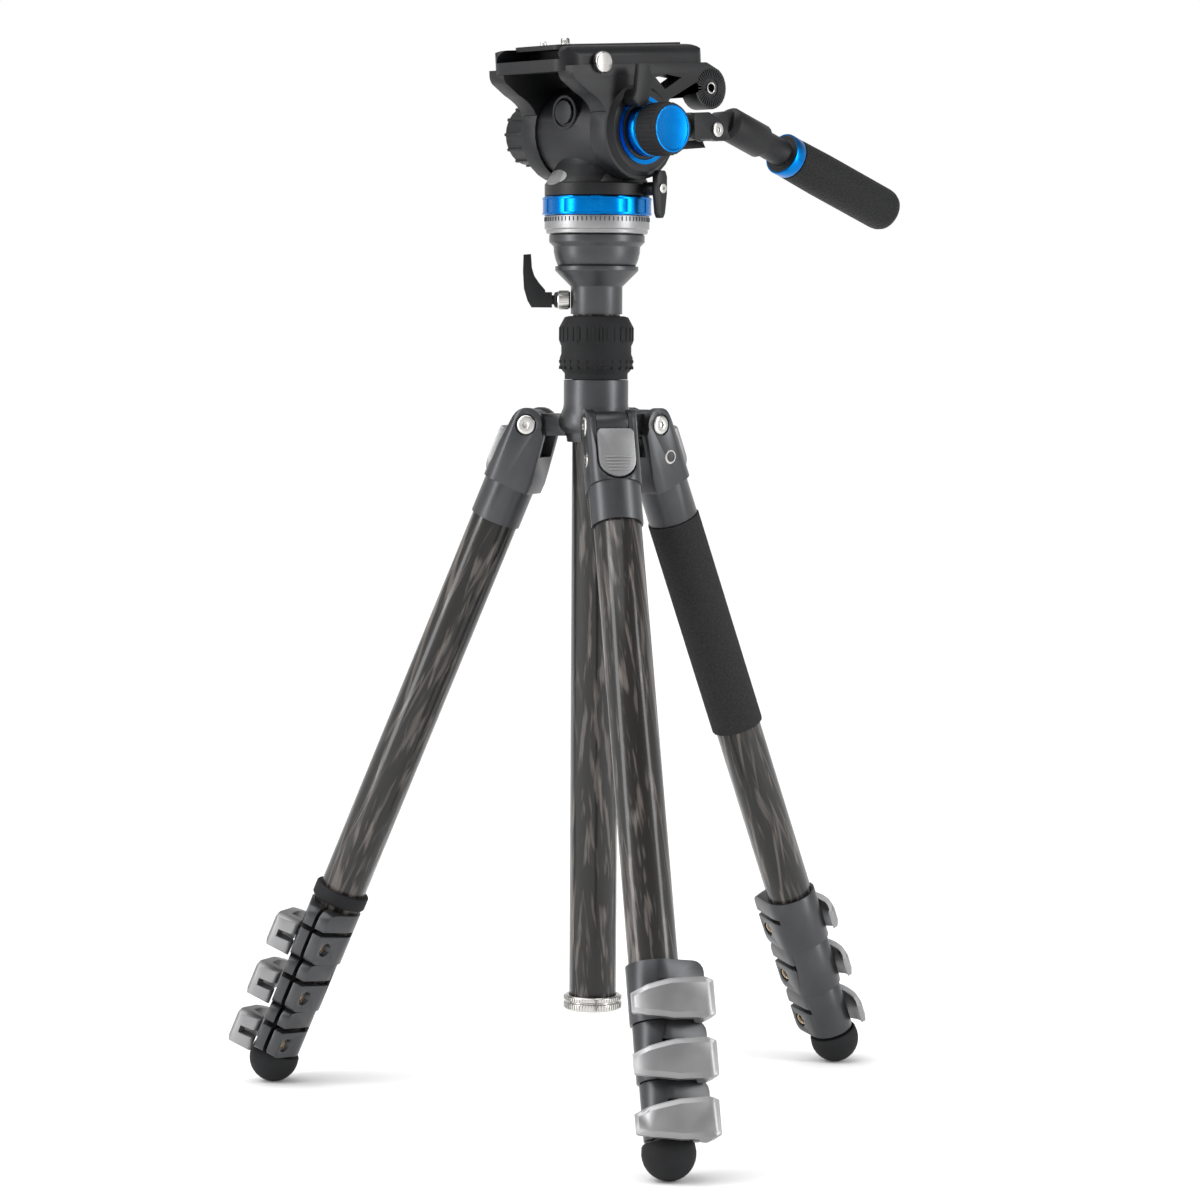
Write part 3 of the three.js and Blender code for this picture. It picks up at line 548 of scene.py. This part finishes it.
# --- Hub, lock collar and column: the spider casting, its rubber-ribbed nut and the sliding tube --------
# The collar screws down on a collet in the hub to hold the carbon column. The column has a turned alloy
# ring at its foot, and at its top a cast neck that opens into a cup.
refined("hub", "hub", grey, bevel=0.6)
refined("column_lock_collar", "lock_collar", rubber, bevel=0.4)
refined("column_end_ring", "column", bright, bevel=0.2)
refined("centre_column", "column", column_carbon, bevel=0.3)


def repeated(piece, count):
    """Copies what the piece holds round the Z axis, count times in all."""
    bpy.ops.object.select_all(action="DESELECT")
    bpy.context.view_layer.objects.active = piece
    piece.select_set(True)
    bpy.ops.object.mode_set(mode="EDIT")
    bpy.ops.mesh.select_all(action="SELECT")
    sweep = 2 * math.pi * (count - 1) / count
    bpy.ops.mesh.spin(steps=count - 1, dupli=True, angle=sweep, center=(0, 0, 0), axis=(0, 0, 1))
    bpy.ops.object.mode_set(mode="OBJECT")
    return piece


upright = Matrix.Translation((axis_x, axis_y, 0))
ribs = repeated(bar("collar_ribs", (24.0, -0.9, 523.4), (25.4, 0.9, 532.6)), 30)
settle(ribs, upright, "lock_collar", rubber, bevel=0.35)
for row, (low, high) in enumerate(((504.2, 506.4), (508.4, 510.6)), 1):
    band = repeated(bar(f"collar_low_grip_{row}", (23.6, -1.1, low), (25.3, 1.1, high)), 24)
    settle(band, upright, "lock_collar", rubber, bevel=0.35)
for row, (low, high) in enumerate(((67.4, 70.9), (73.1, 75.3)), 1):
    teeth = repeated(bar(f"column_end_teeth_{row}", (19.3, -0.5, low), (20.0, 0.5, high)), 60)
    settle(teeth, upright, "column", bright)
sheath = turned("column_neck", [(17.5, 541.5), (17.5, 560.1), (27.3, 569.9), (28.2, 570.9), (28.2, 573.7),
                                (27.2, 573.7)], 72)
settle(sheath, upright, "column", grey, bevel=0.2)


# --- Levelling ball and its lever: a cast half ball in the column's cup, drawn down by a shoe ------------
# The lever is moulded in black over the stud that tightens the shoe, on a bright sleeve with ribs.
refined("level_clamp_shoe", "clamp_shoe", black_metal)
refined("level_ball", "ball", grey, bevel=0.3)
refined("level_lever", "level_lever", black_metal, bevel=0.8)
stem_axis = Vector(joints["level_lever_turn"]["axis"])
boss = turned("level_lever_boss", [(5.5, 18.4), (6.1, 18.8), (6.1, 25.6), (5.6, 26.3), (5.5, 18.4)], 48)
boss_ribs = repeated(bar("level_lever_boss_ribs", (5.9, -0.5, 19.0), (6.5, 0.5, 25.4)), 16)
for piece in (boss, boss_ribs):
    settle(piece, facing(upright, (0, 0, 551), stem_axis), "level_lever", bright)


# --- Head base: an alloy ring with a degree scale, under a knurled blue drag ring ------------------------
# Both are turned. The scale has 72 marks, and the anodised drag ring has a rolled lip at each edge.
def blue_finish():
    material, shader, at = new_material("blue_alloy", 1.0, 0.26)
    cloud = at.noise(60, 3)
    feed(shader, Base_Color=cloud.blend((0.0, 0.12, 0.42), (0.003, 0.19, 0.55)),
         Roughness=cloud * 0.12 + 0.2)
    return material


blue = blue_finish()
refined("base_ring", "ball", alloy, bevel=0.3)
refined("pan_drag_ring", "pan_drag_ring", blue, bevel=0.25)
marks = repeated(bar("base_scale_marks", (35.3, -0.22, 603.7), (35.75, 0.22, 606.6)), 72)
settle(marks, upright, "ball", black_metal)
for name, height in (("low", 609.0), ("high", 619.0)):
    lip = turned(f"drag_ring_{name}_lip", [(36.2, height - 0.7), (37.1, height - 0.5), (37.1, height + 0.5),
                                           (36.2, height + 0.7), (36.2, height - 0.7)], 96)
    settle(lip, upright, "pan_drag_ring", blue)


# --- Pan housing: a black casting that turns on the base and holds the tilt drum -------------------------
# A plain oval badge lies on its shoulder, a raised ring stands on the drum's face, and a small screw
# holds the lock lever at its side.
def casing_finish():
    material, shader, at = new_material("head_casing", 0.1, 0.38, gloss=0.3)
    grain = at.noise(2400, 3)
    cloud = at.noise(26, 3)
    feed(shader, Base_Color=cloud.ramp(0.3, 0.7).blend((0.0045, 0.0047, 0.0055), (0.0085, 0.009, 0.0105)),
         Roughness=cloud * 0.12 + 0.36, Normal=grain.bump(0.2, 0.0003))
    return material


casing = casing_finish()
head_body = refined("pan_body", "pan_body", casing, bevel=0.5)
refined("pan_lever", "pan_lever", casing, bevel=0.8)
boss_ring = turned("drum_boss_ring",
                   [(9.4, -2), (11.6, -2), (11.6, 0.6), (11.0, 1.0), (9.8, 1.0), (9.4, 0.6), (9.4, -2)], 64)
settle(boss_ring, facing(upright, (1, -31.2, 676), (0, -1, 0)), "pan_body", casing)
bpy.ops.object.select_all(action="DESELECT")
bpy.ops.mesh.primitive_circle_add(vertices=64, radius=1, fill_type="TRIFAN", location=(0, 0, 0))
badge = bpy.context.object
badge.name = "plain_badge"
bpy.ops.object.mode_set(mode="EDIT")
bpy.ops.mesh.select_all(action="SELECT")
bpy.ops.mesh.subdivide(number_cuts=5)
bpy.ops.transform.resize(value=(12.5 * mm, 5.6 * mm, 1))
bpy.ops.object.mode_set(mode="OBJECT")
badge.matrix_world = facing(upright, (-8, -60, 633), (0, -0.9, 0.42))
bpy.ops.object.transform_apply(location=True, rotation=True, scale=True)
wrap = badge.modifiers.new("wrap", "SHRINKWRAP")
wrap.target = head_body
wrap.wrap_method = "PROJECT"
wrap.use_project_x = False
wrap.use_project_y = True
wrap.use_project_z = False
wrap.use_negative_direction = False
wrap.use_positive_direction = True
wrap.offset = 0.35 * mm
bpy.ops.object.modifier_apply(modifier="wrap")
settle(badge, Matrix.Identity(4), "pan_body", alloy, angle=60)
lever_screw = screw("pan_lever_screw", 3.2, 1.4, 2.4)
settle(lever_screw, facing(upright, (48.9, 13.7, 625.6), (1, 0, 0)), "pan_lever", bright)


# --- Side knobs: counterbalance on one side, and tilt drag on the other ----------------------------------
# Both are turned. The drag knob's blue body has a moulded grip with 32 ribs pressed over it.
refined("counterbalance_knob", "counterbalance_knob", casing, bevel=0.5)
refined("drag_knob", "drag_knob", blue, bevel=0.3)
grip = turned("drag_knob_grip", [(14.2, 54.0), (16.9, 54.0), (17.3, 54.6), (17.3, 70.4), (16.4, 72.3),
                                 (14.6, 72.3), (14.2, 71.6), (14.2, 54.0)], 96)
drag_axes = facing(upright, (0, 0, 664), (1, 0, 0))
settle(grip, drag_axes, "drag_knob", rubber)
ribs = repeated(bar("drag_knob_ribs", (17.0, -0.55, 55.5), (17.75, 0.55, 69.6)), 32)
settle(ribs, drag_axes, "drag_knob", rubber, bevel=0.15)


# --- Tilt carriage: the cast side plates and top shell that rock on the housing's drum -------------------
# Each plate's rear end has a toothed rosette with a threaded insert, one for each hand. A blue scale ring
# stands round the drag knob, and the tilt lock lever is beside it.
tilt_axis = Vector(joints["tilt"]["pos_m"])
level_back = Vector(joints["plate_slide"]["axis"])
level_up = Vector((1, 0, 0)).cross(level_back)
level_turn = Matrix((Vector((1, 0, 0)), level_back, level_up)).transposed().to_4x4()
carriage = Matrix.Translation(tilt_axis) @ level_turn @ Matrix.Translation((0, 0, -tilt_axis.z))
refined("tilt_carriage", "carriage", casing, bevel=0.8)
refined("tilt_lever", "tilt_lever", black_metal, bevel=0.6)
ROSETTE = (0, 69, 690.7)
for name, side in (("right", 1), ("left", -1)):
    teeth = repeated(bar(f"{name}_rosette_teeth", (6.4, -0.42, -0.4), (12.8, 0.42, 0.7)), 36)
    spot = (side * 41.0, ROSETTE[1], ROSETTE[2])
    settle(teeth, facing(carriage, spot, (side, 0, 0)), "carriage", casing)
    socket = turned(f"{name}_rosette_insert", [(2.9, -5), (4.0, -5), (4.0, 0.6), (3.5, 0.9), (2.9, 0.6),
                                               (2.9, -5)], 32)
    settle(socket, facing(carriage, spot, (side, 0, 0)), "carriage", bright)
scale_ring = turned("tilt_scale_ring",
                    [(19.9, -0.4), (22.8, -0.4), (22.8, 0.25), (19.9, 0.25), (19.9, -0.4)], 96)
settle(scale_ring, facing(carriage, (45.0, 0, 664), (1, 0, 0)), "carriage", blue)


# --- Camera plate: a black plate that slides in the top shell, with its bright lock knob -----------------
# The camera's anti-twist pin and its screw, with a turned thread, stand above the pad.
refined("camera_plate", "camera_plate", black_metal, bevel=0.4)
refined("plate_lock_knob", "plate_lock_knob", bright, bevel=0.4)
pin = turned("camera_plate_pin", [(2.1, 722), (2.1, 724.6), (1.6, 725.2)], 28)
settle(pin, carriage @ Matrix.Translation((0, -46 * mm, 0)), "camera_plate", bright)
thread = turned("camera_screw", [(5.2, 722), (5.2, 723.2), (3.1, 723.2)]
                + [(3.1 - 0.35 * (step % 2), 723.6 + 0.45 * step) for step in range(8)] + [(2.3, 727.4)], 32)
settle(thread, carriage @ Matrix.Translation((0, -26 * mm, 0)), "camera_plate", bright)


# --- Pan bar: an alloy bar in a cast fork, with a blue ring and a moulded rubber grip --------------------
# The fork's carrier has teeth that mate with the rosette, and a lever clamps it. A screw on each side
# closes the fork on the bar's end.
refined("bar_carrier", "bar_carrier", casing, bevel=0.6)
refined("bar_clamp_lever", "bar_clamp_lever", black_metal, bevel=0.6)
refined("pan_bar", "pan_bar", casing, bevel=0.3)
bar_pivot = Vector(joints["pan_bar_fold"]["pos_m"])
bar_turn = level_turn @ Matrix.Rotation(-math.radians(90 + 23), 4, "X")
bar_axes = Matrix.Translation(bar_pivot) @ bar_turn @ Matrix.Translation((0, -12 * mm, 0))
bar_ring = turned("bar_blue_ring", [(13.3, 77.2), (15.2, 77.2), (15.4, 77.6), (15.4, 85.9), (14.9, 86.9),
                                    (13.3, 86.9), (13.3, 77.2)], 96)
settle(bar_ring, bar_axes, "pan_bar", blue)
grip_rubber, grip_shader, grip_at = new_material("grip_rubber", 0.0, 0.62, gloss=0.22)
pebbles = grip_at.node("ShaderNodeTexVoronoi", {}, {"Vector": grip_at, "Scale": 620})
feed(grip_shader, Base_Color=pebbles.ramp(0.1, 0.6).blend((0.011, 0.0113, 0.012), (0.006, 0.0062, 0.0068)),
     Normal=pebbles.bump(0.9, 0.0006))
handle = turned("bar_grip", [(13.0, 87.6), (15.2, 87.6), (15.4, 88.4), (16.0, 120), (16.0, 189),
                             (15.6, 192.6), (14.4, 195.6), (12.2, 197.6), (9.0, 198.2)], 96)
settle(handle, bar_axes, "pan_bar", grip_rubber)
for number, side in enumerate((-1, 1), 1):
    head = screw(f"fork_screw_{number}", 5.2, 2.0, 3.4)
    place = Matrix.Translation(bar_pivot) @ level_turn
    settle(head, facing(place, (side * 9.3, 0, 0), (side, 0, 0)), "bar_carrier", bright,
           bevel=0.2)
